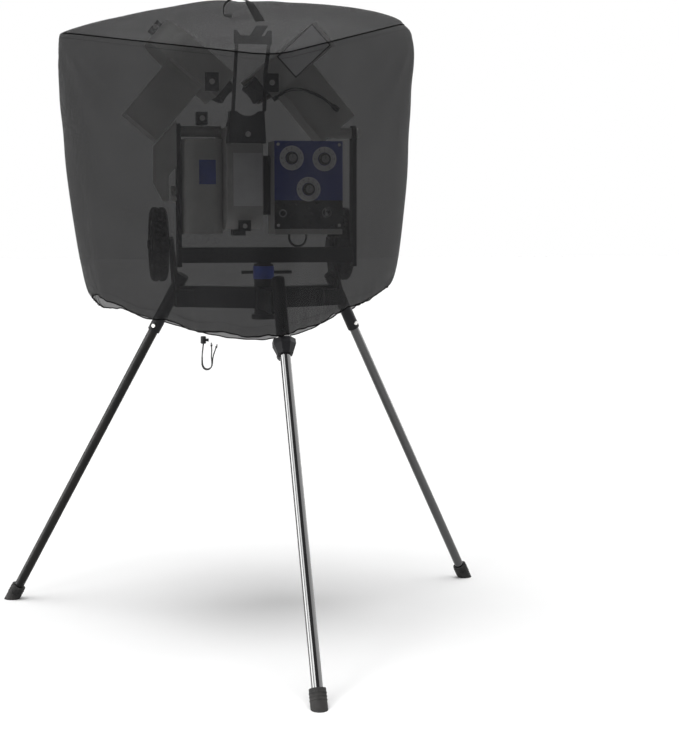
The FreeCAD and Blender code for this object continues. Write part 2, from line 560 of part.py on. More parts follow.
def panel(points):
    """A flat fabric panel, its thickness on the side of the machine."""
    normal = (points[1] - points[0]).cross(points[-1] - points[0]).normalize()
    inward = V(-60, 0, 1200) - points[0]
    normal = normal if normal.dot(inward) > 0 else -normal
    return plate(points, normal * FABRIC)


def cover():
    """Top, sides, strap, cord lock and drawcord tails of the fabric cover."""
    front_left = (SEAM_LEFT, HEM_LEFT, SEAM_FRONT)
    front_right = (SEAM_RIGHT, HEM_RIGHT, SEAM_FRONT)
    rear_left = (SEAM_LEFT, HEM_LEFT, SEAM_BACK_LEFT)
    rear_right = (SEAM_RIGHT, HEM_RIGHT, SEAM_BACK_RIGHT)
    back = (SEAM_BACK_LEFT, SEAM_BACK_RIGHT, BACK_POINT)
    hem_front = plane_point(front_left, front_right, HEM_FRONT_Z)
    hem_back_left = plane_point(rear_left, back, HEM_BACK_LEFT_Z)
    hem_back_right = plane_point(rear_right, back, HEM_BACK_RIGHT_Z)
    low_x, low_z = HEM_BACK_LOW
    across = (V(low_x, 0, 0), V(low_x, 1, 0), V(low_x, 0, 1))
    hem_back_low = plane_point(across, back, low_z)

    ring = [SEAM_LEFT, SEAM_FRONT, SEAM_RIGHT, SEAM_BACK_RIGHT, SEAM_BACK_LEFT]
    slopes = [plate([CROWN, a, b], V(0, 0, -FABRIC)) for a, b in zip(ring, ring[1:] + ring[:1])]
    PARTS["cover_top"] = fuse(slopes)

    for name, plane, seam, hem in (("left", front_left, SEAM_LEFT, HEM_LEFT),
                                   ("right", front_right, SEAM_RIGHT, HEM_RIGHT)):
        low = hem_front + (hem - hem_front) * 0.36
        down = (hem - seam).normalize()
        droop = low + down * HEM_DROOP
        PARTS["cover_front_" + name] = panel([seam, SEAM_FRONT, hem_front, droop, hem])
    sides = [panel([SEAM_LEFT, SEAM_BACK_LEFT, hem_back_left, HEM_LEFT]),
             panel([SEAM_BACK_LEFT, SEAM_BACK_RIGHT, hem_back_right, hem_back_low, hem_back_left]),
             panel([SEAM_RIGHT, SEAM_BACK_RIGHT, hem_back_right, HEM_RIGHT])]
    PARTS["cover_rear"] = fuse(sides)
    order = ["cover_top", "cover_front_left", "cover_front_right", "cover_rear"]
    for i, name in enumerate(order[1:], 1):
        PARTS[name] = cut(PARTS[name], [PARTS[n] for n in order[:i]])
        PARTS[name] = max(PARTS[name].Solids, key=lambda s: s.Volume)

    x0, x1 = STRAP_X
    middle, y = (x0 + x1) / 2, STRAP_Y - STRAP_WIDTH / 2
    base = 1570
    peak = 1588 + STRAP_RISE
    t = STRAP_THICK
    outline = Part.Wire([
        Part.LineSegment(V(x0, y, base), V(x0, y, 1600)).toShape(),
        Part.Arc(V(x0, y, 1600), V(middle, y, peak), V(x1, y, 1600)).toShape(),
        Part.LineSegment(V(x1, y, 1600), V(x1, y, base)).toShape(),
        Part.LineSegment(V(x1, y, base), V(x1 - t, y, base)).toShape(),
        Part.LineSegment(V(x1 - t, y, base), V(x1 - t, y, 1600)).toShape(),
        Part.Arc(V(x1 - t, y, 1600), V(middle, y, peak - t), V(x0 + t, y, 1600)).toShape(),
        Part.LineSegment(V(x0 + t, y, 1600), V(x0 + t, y, base)).toShape(),
        Part.LineSegment(V(x0 + t, y, base), V(x0, y, base)).toShape()])
    strap = Part.Face(outline).extrude(Y_AXIS * STRAP_WIDTH)
    under = fuse([plate([CROWN, a, b], V(0, 0, -200)) for a, b in zip(ring, ring[1:] + ring[:1])])
    strap = strap.cut(under)
    PARTS["cover_strap"] = max(strap.Solids, key=lambda s: s.Volume)

    lock = rod(CORD_LOCK - Z_AXIS * 9, CORD_LOCK + Z_AXIS * 9, 7)
    button = rod(CORD_LOCK + CORD_SIDE * 5, CORD_LOCK + CORD_SIDE * 13, 4)
    PARTS["cord_lock"] = fuse([lock, button])
    for name, (depth, route) in DRAWCORDS.items():
        leave = CORD_LOCK + V(0, depth, -9)
        route = [leave + CORD_SIDE * side + Z_AXIS * up for side, up in route]
        tube = cord(route, CORD_R, "drawcord_" + name)
        PARTS["drawcord_" + name] = tube.fuse(Part.makeSphere(KNOT_R, route[-1]))


def main():
    tripod()
    transport()
    yoke()
    wheel_units()
    brackets, bolts = head_frame()
    bolts += control_box()
    bolts += feeder()
    fasteners(brackets, bolts)
    cables()
    cover()
    os.makedirs("parts", exist_ok=True)
    for name, shape in PARTS.items():
        shape = shape.copy()
        shape.translate(V(0, ORIGIN_Y, 0))
        if not shape.isValid():
            print("not valid:", name)
        shape.exportStep("parts/" + name + ".step")
    whole = Part.makeCompound(list(PARTS.values()))
    print(len(PARTS), "nodes; box", whole.BoundBox, "origin y", ORIGIN_Y)


main()
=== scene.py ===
import json
import math

import bmesh
import bpy
from mathutils import Matrix, Vector, noise


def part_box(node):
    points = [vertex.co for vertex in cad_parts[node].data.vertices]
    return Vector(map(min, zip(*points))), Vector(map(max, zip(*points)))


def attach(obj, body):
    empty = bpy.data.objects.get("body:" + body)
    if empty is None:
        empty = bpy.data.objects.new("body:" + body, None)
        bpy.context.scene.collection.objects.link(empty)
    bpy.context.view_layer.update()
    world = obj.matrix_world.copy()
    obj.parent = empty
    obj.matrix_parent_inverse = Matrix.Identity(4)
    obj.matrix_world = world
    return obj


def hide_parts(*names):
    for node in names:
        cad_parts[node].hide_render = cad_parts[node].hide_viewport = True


# Looks of a three-wheel pitching machine on a tripod, under a see-through fabric cover.
# Metres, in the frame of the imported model. Places are given in millimetres from the
# swivel's axis, as (across, along the throw, up), and at() turns them into metres.

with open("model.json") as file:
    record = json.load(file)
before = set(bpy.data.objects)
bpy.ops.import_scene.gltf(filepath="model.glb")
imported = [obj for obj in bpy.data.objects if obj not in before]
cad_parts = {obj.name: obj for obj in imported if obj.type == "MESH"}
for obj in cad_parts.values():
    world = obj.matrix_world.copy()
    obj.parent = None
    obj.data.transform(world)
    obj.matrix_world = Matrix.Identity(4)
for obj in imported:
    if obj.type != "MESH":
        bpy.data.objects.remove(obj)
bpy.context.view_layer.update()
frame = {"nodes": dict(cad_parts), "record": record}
nodes = frame["nodes"]

column_low, column_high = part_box("hub_column")
AXIS_Y = (column_low.y + column_high.y) / 2
FRONT = Vector((0, -1, 0))
UP = Vector((0, 0, 1))
# The control panel's face, and where its black band ends, in millimetres as at() takes them.
PANEL_Y, PANEL_BAND_TOP = -169, 1126


def at(x, y, z):
    """A place in metres from millimetres about the swivel's axis."""
    return Vector((x / 1000, y / 1000 + AXIS_Y, z / 1000))


def smooth_step(low, high, value):
    """0 below low, 1 above high, and a smooth rise between them."""
    share = min(1, max(0, (value - low) / (high - low)))
    return share * share * (3 - 2 * share)


# ---------------------------------------------------------------- materials

class Look:
    """A procedural material: one Principled shader and the textures that feed it."""

    def __init__(self, name, colour, roughness, **sockets):
        self.material = bpy.data.materials.new(name)
        self.material.use_nodes = True
        self.tree = self.material.node_tree
        self.shader = self.tree.nodes["Principled BSDF"]
        self.shader.inputs["Base Color"].default_value = (*colour, 1)
        self.shader.inputs["Roughness"].default_value = roughness
        for socket, value in sockets.items():
            self.shader.inputs[socket.replace("_", " ")].default_value = value
        self.place = self.add("ShaderNodeTexCoord").outputs["Object"]
        self.normal = None

    def add(self, kind, inputs=(), **settings):
        """A new node with its settings, and its inputs set or linked."""
        node = self.tree.nodes.new(kind)
        for key, value in settings.items():
            setattr(node, key, value)
        for key, value in dict(inputs).items():
            if isinstance(value, bpy.types.NodeSocket):
                self.tree.links.new(value, node.inputs[key])
            else:
                node.inputs[key].default_value = value
        return node

    def noise(self, scale, detail=3, stretch=(1, 1, 1)):
        """Cloudy noise with that many features in a metre."""
        place = self.add("ShaderNodeMapping", {"Vector": self.place, "Scale": stretch}).outputs[0]
        return self.add("ShaderNodeTexNoise",
                        {"Vector": place, "Scale": scale, "Detail": detail}).outputs[0]

    def ramp(self, factor, stops):
        """A colour for each value of a factor; stops are (place, colour)."""
        node = self.add("ShaderNodeValToRGB", {"Fac": factor})
        ramp = node.color_ramp
        while len(ramp.elements) < len(stops):
            ramp.elements.new(0.5)
        for element, (position, colour) in zip(ramp.elements, stops):
            element.position = position
            element.color = (*colour, 1)
        return node.outputs[0]

    def tint(self, factor, low, high, start=0.35, end=0.65):
        """The base colour goes from one colour to another with a factor."""
        colour = self.ramp(factor, [(start, low), (end, high)])
        self.tree.links.new(colour, self.shader.inputs["Base Color"])
        return self

    def paint(self, colour):
        """The base colour comes from a socket."""
        self.tree.links.new(colour, self.shader.inputs["Base Color"])
        return self

    def polish(self, factor, low, high):
        """The roughness follows a factor."""
        spread = self.add("ShaderNodeMapRange", {"Value": factor, "From Min": 0.3, "From Max": 0.7,
                                                 "To Min": low, "To Max": high})
        self.tree.links.new(spread.outputs[0], self.shader.inputs["Roughness"])
        return self

    def soften(self, radius):
        """Rounds the look of sharp edges."""
        self.normal = self.add("ShaderNodeBevel", {"Radius": radius}, samples=4).outputs[0]
        self.tree.links.new(self.normal, self.shader.inputs["Normal"])
        return self

    def bump(self, factor, distance):
        """Adds relief of that depth, in metres."""
        inputs = {"Height": factor, "Distance": distance, "Strength": 1.0}
        if self.normal is not None:
            inputs["Normal"] = self.normal
        self.normal = self.add("ShaderNodeBump", inputs).outputs[0]
        self.tree.links.new(self.normal, self.shader.inputs["Normal"])
        return self

    def axis(self, name):
        """One coordinate of a place on the piece, in metres."""
        return self.add("ShaderNodeSeparateXYZ", {"Vector": self.place}).outputs[name]

    def math(self, operation, a, b=0.0, c=0.0):
        """The result of a Math node."""
        return self.add("ShaderNodeMath", {0: a, 1: b, 2: c}, operation=operation).outputs[0]

    def threads(self, pitch):
        """A woven height field: threads of that pitch cross over and under each other."""
        rate = math.pi / pitch
        wave = [self.math("SINE", self.math("MULTIPLY", self.axis(name), rate)) for name in "XYZ"]
        first = self.math("MULTIPLY", self.math("ADD", wave[0], wave[1]), wave[2])
        return self.math("MULTIPLY_ADD", first, 0.25, 0.5)


def painted(name, dark, light, roughness, relief=0.00006, **sockets):
    """Enamelled or powder-coated metal: slight mottling, orange peel and soft edges."""
    look = Look(name, light, roughness, **sockets)
    look.tint(look.noise(14, 4), dark, light, 0.25, 0.75)
    look.polish(look.noise(60, 4), roughness * 0.85, roughness * 1.2)
    look.soften(0.0008)
    return look.bump(look.noise(900, 2), relief)


def make_looks():
    """A material for every slot of the record, and for the small pieces made here."""
    looks = {}
    looks["black_steel"] = painted("black_steel", (0.008, 0.008, 0.009), (0.016, 0.016, 0.018),
                                   0.42, Specular_IOR_Level=0.12)
    looks["black_bracket"] = painted("black_bracket", (0.009, 0.009, 0.010),
                                     (0.018, 0.018, 0.019), 0.5, Specular_IOR_Level=0.12)
    looks["motor_steel"] = painted("motor_steel", (0.02, 0.02, 0.022), (0.035, 0.035, 0.038),
                                   0.4, Specular_IOR_Level=0.2)

    tube = Look("black_tube", (0.004, 0.004, 0.0045), 0.08, Specular_IOR_Level=1.0)
    tube.tint(tube.noise(30, 4, (1, 1, 0.15)), (0.003, 0.003, 0.0035), (0.007, 0.007, 0.0075))
    tube.polish(tube.noise(140, 5, (1, 1, 0.06)), 0.05, 0.12)
    looks["black_tube"] = tube.bump(tube.noise(45, 2), 0.00004)

    # A rougher, less glossy copy of the tube for the left leg alone: painted shade, so that leg
    # shows no highlights where the other legs catch the light.
    shaded_satin = Look("dull_shaded_tube", (0.008, 0.008, 0.008), 0.35, Specular_IOR_Level=0.15)
    shaded_satin.tint(shaded_satin.noise(30, 4, (1, 1, 0.15)), (0.006, 0.006, 0.006), (0.012, 0.011, 0.010))
    looks["dull_shaded_tube"] = shaded_satin.polish(shaded_satin.noise(140, 5, (1, 1, 0.06)), 0.28, 0.42)

    rubber = Look("rubber", (0.02, 0.02, 0.02), 0.72, Specular_IOR_Level=0.2)
    rubber.tint(rubber.noise(35, 5), (0.012, 0.012, 0.012), (0.032, 0.031, 0.030))
    looks["rubber"] = rubber.soften(0.0015).bump(rubber.noise(700, 3), 0.00012)

    zinc = Look("zinc_fastener", (0.85, 0.84, 0.82), 0.35, Metallic=0.45)
    zinc.tint(zinc.noise(160, 3), (0.74, 0.73, 0.71), (0.90, 0.89, 0.87))
    looks["zinc_fastener"] = zinc.soften(0.0004).bump(zinc.noise(1500, 2), 0.00003)

    white = Look("white_lever", (0.62, 0.61, 0.59), 0.35)
    white.tint(white.noise(40, 3), (0.52, 0.51, 0.48), (0.66, 0.65, 0.63))
    looks["white_lever"] = white.soften(0.0012).bump(white.noise(500, 2), 0.00005)

    black = Look("black_plastic", (0.014, 0.014, 0.015), 0.5, Specular_IOR_Level=0.2)
    black.tint(black.noise(60, 3), (0.010, 0.010, 0.011), (0.022, 0.022, 0.023))
    looks["black_plastic"] = black.soften(0.0006).bump(black.noise(2200, 2), 0.00006)

    blue = Look("blue_sleeve", (0.02, 0.06, 0.42), 0.3)
    blue.tint(blue.noise(25, 3), (0.016, 0.045, 0.33), (0.026, 0.075, 0.48))
    looks["blue_sleeve"] = blue.soften(0.0006).bump(blue.noise(600, 2), 0.00003)

    tyre = Look("tyre", (0.016, 0.016, 0.016), 0.8, Specular_IOR_Level=0.15)
    tyre.tint(tyre.noise(45, 5), (0.010, 0.010, 0.010), (0.028, 0.027, 0.026))
    looks["tyre"] = tyre.soften(0.002).bump(tyre.noise(520, 4), 0.0002)

    rim = Look("wheel_rim", (0.03, 0.03, 0.032), 0.45, Specular_IOR_Level=0.2)
    rim.tint(rim.noise(30, 3), (0.02, 0.02, 0.021), (0.04, 0.04, 0.042))
    looks["wheel_rim"] = rim.soften(0.0012).bump(rim.noise(1500, 2), 0.00005)

    looks["grey_housing"] = painted("grey_housing", (0.50, 0.495, 0.48), (0.60, 0.595, 0.58),
                                    0.38)

    panel = Look("blue_panel", (0.02, 0.05, 0.30), 0.3)
    band = panel.math("GREATER_THAN", panel.axis("Z"), at(0, 0, PANEL_BAND_TOP).z)
    colour = panel.ramp(band, [(0.0, (0.012, 0.012, 0.013)), (1.0, (0.018, 0.045, 0.33))])
    panel.paint(colour).polish(panel.noise(80, 3), 0.25, 0.36)
    looks["blue_panel"] = panel.soften(0.0008).bump(panel.noise(700, 2), 0.00004)

    tread = Look("throwing_rubber", (0.03, 0.03, 0.03), 0.85, Specular_IOR_Level=0.15)
    tread.tint(tread.noise(70, 5), (0.016, 0.016, 0.016), (0.045, 0.043, 0.04))
    looks["throwing_rubber"] = tread.soften(0.001).bump(tread.noise(420, 4), 0.0004)

    hub = Look("wheel_hub", (0.7, 0.7, 0.71), 0.28, Metallic=1.0)
    hub.polish(hub.noise(90, 3, (1, 1, 8)), 0.2, 0.4)
    looks["wheel_hub"] = hub.soften(0.0006).bump(hub.noise(500, 2), 0.00003)

    cable = Look("cable", (0.012, 0.012, 0.013), 0.45)
    cable.tint(cable.noise(90, 3), (0.009, 0.009, 0.01), (0.018, 0.018, 0.019))
    looks["cable"] = cable.bump(cable.noise(1400, 2), 0.00005)

    chrome = Look("steel_switch", (0.78, 0.78, 0.8), 0.12, Metallic=1.0)
    looks["steel_switch"] = chrome.polish(chrome.noise(300, 3), 0.08, 0.2).soften(0.0003)

    fabric = Look("cover_fabric", (0.012, 0.012, 0.0125), 0.9, Alpha=0.8, Specular_IOR_Level=0.08,
                  Sheen_Weight=0.06, Sheen_Roughness=0.5)
    fabric.tint(fabric.noise(7, 5), (0.009, 0.009, 0.0094), (0.015, 0.015, 0.0155), 0.3, 0.7)
    fabric.bump(fabric.threads(0.0011), 0.00025)
    looks["cover_fabric"] = fabric.bump(fabric.noise(55, 4), 0.0006)

    webbing = Look("webbing", (0.008, 0.008, 0.008), 0.8, Sheen_Weight=0.05, Specular_IOR_Level=0.1)
    webbing.tint(webbing.noise(200, 3), (0.005, 0.005, 0.005), (0.011, 0.011, 0.011))
    looks["webbing"] = webbing.bump(webbing.threads(0.0016), 0.0006)

    cord = Look("drawcord", (0.010, 0.010, 0.010), 0.8, Sheen_Weight=0.2)
    cord.tint(cord.noise(500, 3), (0.006, 0.006, 0.006), (0.02, 0.02, 0.02))
    looks["drawcord"] = cord.bump(cord.threads(0.0009), 0.0003)

    piping = Look("piping", (0.002, 0.002, 0.002), 0.9, Specular_IOR_Level=0.02)
    piping.tint(piping.noise(300, 3), (0.0015, 0.0015, 0.0015), (0.003, 0.003, 0.003))
    looks["piping"] = piping.bump(piping.threads(0.0009), 0.0003)

    label = Look("label_white", (0.85, 0.85, 0.87), 0.4)
    label.tint(label.noise(18, 4), (0.80, 0.80, 0.82), (0.88, 0.88, 0.90))
    looks["label_white"] = label.bump(label.noise(900, 2), 0.00002)

    ink = Look("ink", (0.012, 0.012, 0.014), 0.5)
    looks["ink"] = ink.tint(ink.noise(200, 2), (0.010, 0.010, 0.012), (0.018, 0.018, 0.020))

    grey = Look("grey_cap", (0.34, 0.34, 0.35), 0.4)
    grey.tint(grey.noise(60, 3), (0.29, 0.29, 0.30), (0.38, 0.38, 0.39))
    looks["grey_cap"] = grey.soften(0.0005).bump(grey.noise(1200, 2), 0.00004)
    return {name: look.material for name, look in looks.items()}


LOOKS = make_looks()
SLOTS = {row["node"]: row["material_slot"] for row in frame["record"]["subparts"]}
for node_name, slot_name in SLOTS.items():
    for material_slot in nodes[node_name].material_slots:
        material_slot.material = LOOKS[slot_name]
# The left leg gets the duller copy of the tube: painted shade that keeps highlights off it.
nodes["leg_tube_left"].material_slots[0].material = LOOKS["dull_shaded_tube"]


# ------------------------------------------------------------- mesh helpers

def facing(origin, direction, roll=0.0):
    """A matrix that puts Z along a direction at a place."""
    turn = Vector(direction).normalized().to_track_quat("Z", "Y").to_matrix().to_4x4()
    return Matrix.Translation(origin) @ turn @ Matrix.Rotation(roll, 4, "Z")


class Shape:
    """Several forms gathered in one mesh."""

    def __init__(self):
        self.mesh = bmesh.new()

    def lathe(self, profile, matrix, steps=40, wave=None):
        """Turns (radius, height) points about Z. wave(angle, radius) may alter the radius."""
        rings = []
        for radius, height in profile:
            if radius == 0:
                rings.append([self.mesh.verts.new(matrix @ Vector((0, 0, height)))])
                continue
            ring = []
            for i in range(steps):
                angle = 2 * math.pi * i / steps
                r = wave(angle, radius) if wave else radius
                ring.append(self.mesh.verts.new(
                    matrix @ Vector((r * math.cos(angle), r * math.sin(angle), height))))
            rings.append(ring)
        for low, high in zip(rings, rings[1:]):
            for i in range(steps):
                j = (i + 1) % steps
                corners = [low[i % len(low)], low[j % len(low)],
                           high[j % len(high)], high[i % len(high)]]
                corners = list(dict.fromkeys(corners))
                if len(corners) > 2:
                    self.mesh.faces.new(corners)
        return self

    def block(self, size, matrix, edge=0.0005):
        """A block with rounded edges."""
        matrix = matrix @ Matrix.Diagonal((*size, 1))
        made = bmesh.ops.create_cube(self.mesh, size=1, matrix=matrix)
        edges = list({e for v in made["verts"] for e in v.link_edges})
        bmesh.ops.bevel(self.mesh, geom=edges, offset=edge, segments=2, affect="EDGES",
                        profile=0.5)
        return self

    def tube(self, points, radius, sides=10, closed=False):
        """A round tube through points."""
        turns = [2 * math.pi * i / sides for i in range(sides)]
        section = [(radius * math.cos(turn), radius * math.sin(turn)) for turn in turns]
        return self.sweep(points, section, closed)

    def sweep(self, points, section, closed=False, ups=None):
        """A section carried along points; ups say which way its second axis points."""
        rings = []
        up = Vector((0.13, 0.21, 0.97))
        count = len(points)
        for i, point in enumerate(points):
            before = points[i - 1] if closed or i else point
            after = points[(i + 1) % count] if closed or i < count - 1 else point
            along = (after - before).normalized()
            up = Vector(ups[i]) if ups else up
            side = along.cross(up).normalized()
            up = side.cross(along).normalized()
            rings.append([self.mesh.verts.new(point + side * x + up * y) for x, y in section])
        pairs = list(zip(rings, rings[1:])) + ([(rings[-1], rings[0])] if closed else [])
        for low, high in pairs:
            for i in range(len(section)):
                j = (i + 1) % len(section)
                self.mesh.faces.new((low[i], low[j], high[j], high[i]))
        if not closed:
            self.mesh.faces.new(rings[0][::-1])
            self.mesh.faces.new(rings[-1])
        return self

    def piece(self, name, body, slot, look, angle=35):
        """The finished object, riding on a body."""
        bmesh.ops.remove_doubles(self.mesh, verts=self.mesh.verts, dist=1e-6)
        bmesh.ops.recalc_face_normals(self.mesh, faces=self.mesh.faces)
        data = bpy.data.meshes.new(name)
        self.mesh.to_mesh(data)
        self.mesh.free()
        data.materials.append(LOOKS[look])
        data.shade_smooth()
        data.set_sharp_from_angle(angle=math.radians(angle))
        made = bpy.data.objects.new(name, data)
        bpy.context.scene.collection.objects.link(made)
        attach(made, body)
        return made


def curve_piece(name, points, radius, body, look):
    """A round cord whose centreline is one smooth spline with these control points."""
    data = bpy.data.curves.new(name, "CURVE")
    data.dimensions = "3D"
    spline = data.splines.new("NURBS")
    spline.points.add(len(points) - 1)
    for control, point in zip(spline.points, points):
        control.co = (*point, 1)
    spline.order_u = 3
    spline.use_endpoint_u = True
    spline.resolution_u = 8
    data.bevel_depth = radius
    data.bevel_resolution = 3
    data.use_fill_caps = True
    data.materials.append(LOOKS[look])
    made = bpy.data.objects.new(name, data)
    bpy.context.scene.collection.objects.link(made)
    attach(made, body)
    return made


# ------------------------------------------------------------------- camera

# The camera's distance from the swivel's axis and height, in metres. Its bearing round to
# the left, how far it turns past the axis and how far it looks down, in degrees. Its lens
# and sensor, in millimetres.
CAMERA_DISTANCE, CAMERA_HEIGHT = 4.074, 1.075
CAMERA_BEARING, CAMERA_TURN, CAMERA_TILT = 8.79, 2.82, 5.53
LENS, SENSOR = 74.96, 36


def camera():
    """A long lens, a little to the left of the machine."""
    bearing, turn, tilt = (math.radians(a) for a in (CAMERA_BEARING, CAMERA_TURN, CAMERA_TILT))
    place = Vector((-CAMERA_DISTANCE * math.sin(bearing),
                    AXIS_Y - CAMERA_DISTANCE * math.cos(bearing), CAMERA_HEIGHT))
    heading = bearing + turn
    look = Vector((math.sin(heading) * math.cos(tilt), math.cos(heading) * math.cos(tilt),
                   -math.sin(tilt)))
    data = bpy.data.cameras.new("camera")
    data.lens = LENS
    data.sensor_width = SENSOR
    made = bpy.data.objects.new("camera", data)
    made.location = place
    made.rotation_mode = "QUATERNION"
    made.rotation_quaternion = look.to_track_quat("-Z", "Y")
    bpy.context.scene.collection.objects.link(made)
    bpy.context.scene.camera = made


# ---------------------------------------------------------------- drawcords

LOCK = at(-193, -279, 784)
CORD_SIDE = Vector((0.988, -0.156, 0))
CORD_RADIUS = 0.0015
# Each tail: how far behind the lock's middle it leaves, its length in metres, and its route
# as (sideways, up) from there, in millimetres.
CORD_TAILS = {
    "a": (-3, 0.1376, [(0, 0), (-1.4, -12), (-3.5, -25), (-4.2, -38.5), (-4.5, -52),
                       (-0.8, -61.3), (8, -65), (16.8, -61.3), (20.3, -52.5), (19.4, -40.5),
                       (18.8, -28), (20.1, -15.5), (19.3, -4)]),
    "b": (3, 0.1314, [(0, 0), (-1.2, -12), (-3, -25), (-2.6, -38.5), (-2.2, -51), (1.5, -60),
                      (10, -63.5), (18.6, -60), (22.2, -51), (22.6, -39.5), (24.6, -28.5),
                      (28.6, -18), (32, -8.5)]),
}


def drawcords():
    """The cord lock under the hem and the two knotted tails that hang from it."""
    body, button = Shape(), Shape()
    ribs = [(0, -9), (5.6, -9), (6.6, -8)]
    for step in range(5):
        low = -6 + step * 2.6
        ribs += [(6.9, low), (6.9, low + 1.4), (6.2, low + 1.7), (6.2, low + 2.3)]
    ribs += [(6.6, 8), (5.6, 9), (0, 9)]
    body.lathe([(r / 1000, z / 1000) for r, z in ribs], facing(LOCK, UP))
    button.lathe([(0, 0.0045), (0.0034, 0.0045), (0.0034, 0.010), (0.0040, 0.0106),
                  (0.0040, 0.0124), (0.0033, 0.013), (0, 0.013)], facing(LOCK, CORD_SIDE))
    lock = body.piece("cord_lock_barrel", "cover", "black_plastic", "black_plastic")
    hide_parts("cord_lock")
    button.piece("cord_lock_button", "cover", "black_plastic", "black_plastic")
    for name, (depth, length, route) in CORD_TAILS.items():
        leave = LOCK + Vector((0, depth / 1000, -0.009))
        points = [leave + CORD_SIDE * side / 1000 + UP * up / 1000 for side, up in route]
        tail = curve_piece("drawcord_tail_" + name, points, CORD_RADIUS, "cover",
                           "drawcord")
        knot = knot_shape(points[-1], points[-1] - points[-2])
        knot = knot.piece("drawcord_knot_" + name, "cover", "drawcord", "drawcord")
        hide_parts("drawcord_" + name)


def knot_shape(centre, way):
    """A knot: a tight turn of cord, with a frayed stub of five strands."""
    shape = Shape()
    turn = facing(centre, way)
    loop = []
    for i in range(36):
        angle = 2 * math.pi * i / 36
        radius = 0.0016 + 0.0004 * math.cos(2 * angle)
        loop.append(turn @ Vector((radius * math.cos(angle), radius * math.sin(angle),
                                   0.0011 * math.sin(3 * angle))))
    shape.tube(loop, 0.0014, 8, closed=True)
    for i in range(5):
        angle = 2 * math.pi * i / 5
        out = Vector((math.cos(angle), math.sin(angle), 0))
        shape.tube([turn @ (out * 0.0005), turn @ (out * 0.0009 + UP * 0.004),
                    turn @ (out * 0.0016 + UP * 0.0065)], 0.0004, 5)
    return shape


# -------------------------------------------------------------------- cover

# Corners of the top's seam and of the hem, in order round the cover, and how much of
# the edges beside each corner its rounding takes.
SEAM = [at(-523, 0, 1550), at(-45, -467, 1453), at(393, 0, 1598), at(342, 385, 1500),
        at(-455, 385, 1500)]
HEM = [at(-467, 0, 893), at(-39.6, -404.7, 790), at(370, 0, 913), at(291.6, 357.8, 800),
       at(-392.8, 359, 828)]
ROUNDING = [0.07, 0.12, 0.12, 0.22, 0.22]
HEM_ROUNDING = [0.22, 0.20, 0.24, 0.22, 0.22]
CROWN = at(-63, 20, 1641)
COLUMNS, TOP_ROWS, SIDE_ROWS = 460, 44, 110
# Rows that are stitched: under the top's seam, and over the hem's casing.
STITCHED_ROWS = (TOP_ROWS + 1, TOP_ROWS + SIDE_ROWS - 5)
# How far the hem is drawn in, and how far up that reaches.
HEM_TUCK, HEM_TUCK_REACH = 0.008, 0.018
# Creases that run out from each corner of the top: their height, and where they are highest.
CORNER_PULLS = (0.00224, 0.00128, 0.00224, 0.0016, 0.0016)
PULL_REACH = 0.14
# The piping's radius in the top's seam and in the hem, in metres.
SEAM_PIPING, HEM_PIPING = 0.0016, 0.0017


def ring_point(corners, rounding, place):
    """The point of a closed outline with rounded corners; place counts corners."""
    count = len(corners)
    i = int(place) % count
    share = place - int(place)
    here, after = corners[i], corners[(i + 1) % count]
    before, beyond = corners[i - 1], corners[(i + 2) % count]
    start, end = rounding[i], rounding[(i + 1) % count]
    if share < start:
        first, corner, last = before, here, after
        reach, t = start, 0.5 + 0.5 * share / start
    elif share > 1 - end:
        first, corner, last = here, after, beyond
        reach, t = end, 0.5 * (share - (1 - end)) / end
    else:
        return here.lerp(after, share)
    a, b = corner.lerp(first, reach), corner.lerp(last, reach)
    return a * (1 - t) ** 2 + corner * 2 * t * (1 - t) + b * t * t


def stations():
    """Places round the cover, evenly spaced along its seam."""
    corners, steps = len(SEAM), 2000
    fine = [corners * i / steps for i in range(steps + 1)]
    points = [ring_point(SEAM, ROUNDING, f % corners) for f in fine]
    lengths = [0]
    for a, b in zip(points, points[1:]):
        lengths.append(lengths[-1] + (b - a).length)
    places, j = [], 0
    for i in range(COLUMNS):
        want = lengths[-1] * i / COLUMNS
        while lengths[j + 1] < want:
            j += 1
        share = (want - lengths[j]) / (lengths[j + 1] - lengths[j])
        places.append((fine[j] + share * (fine[j + 1] - fine[j])) % corners)
    return places


def hem_drop(place):
    """How much lower than straight the hem hangs between its corners."""
    ripple = 0.0014 * noise.noise(Vector((place * 13, 2.2, 0))) + 0.0006 * math.sin(place * 83)
    if place < 1:
        sag = 0.026 * math.sin(math.pi * place ** 0.85)
        scallop = 0.006 * math.cos(2 * math.pi * (place - 0.31) / 0.3)
        return sag + scallop * math.sin(math.pi * place) + ripple
    if place < 2:
        share = place - 1
        scallop = 0.0042 * math.cos(2 * math.pi * (share - 0.38) / 0.38)
        return (0.013 + scallop) * math.sin(math.pi * share) ** 0.5 + ripple
    if place < 3:
        return ripple
    if place < 4:
        return 0.077 * math.sin(math.pi * (4 - place) ** 1.35) + ripple
    return 0.012 * math.sin(math.pi * (place - 4)) + ripple


def belly(place, down):
    """How far the sides swell outward; most at the left and right corners."""
    left = 0.5 + 0.5 * math.cos(math.pi * min(1, min(place, 5 - place) / 0.5))
    right = 0.5 + 0.5 * math.cos(math.pi * min(1, abs(place - 2) / 0.5))
    depth = 0.009 + 0.016 * left + 0.019 * right
    start = 0.1 - 0.073 * right
    lower = math.sin(math.pi / 2 * min(1, (1 - down) / 0.45)) ** 0.55
    return depth * (1 - math.exp(-down / start)) * lower


def dome(share, side):
    """How far the top swells over straight lines from the crown; side is 0 left, 1 right."""
    left = 0.0155 * (1 - math.exp(-share / 0.08)) * (1 - share ** 4) ** 0.6
    right = 0.031 * (1 - math.exp(-share / 0.4)) * (1 - share ** 9) ** 0.6
    return left + (right - left) * side


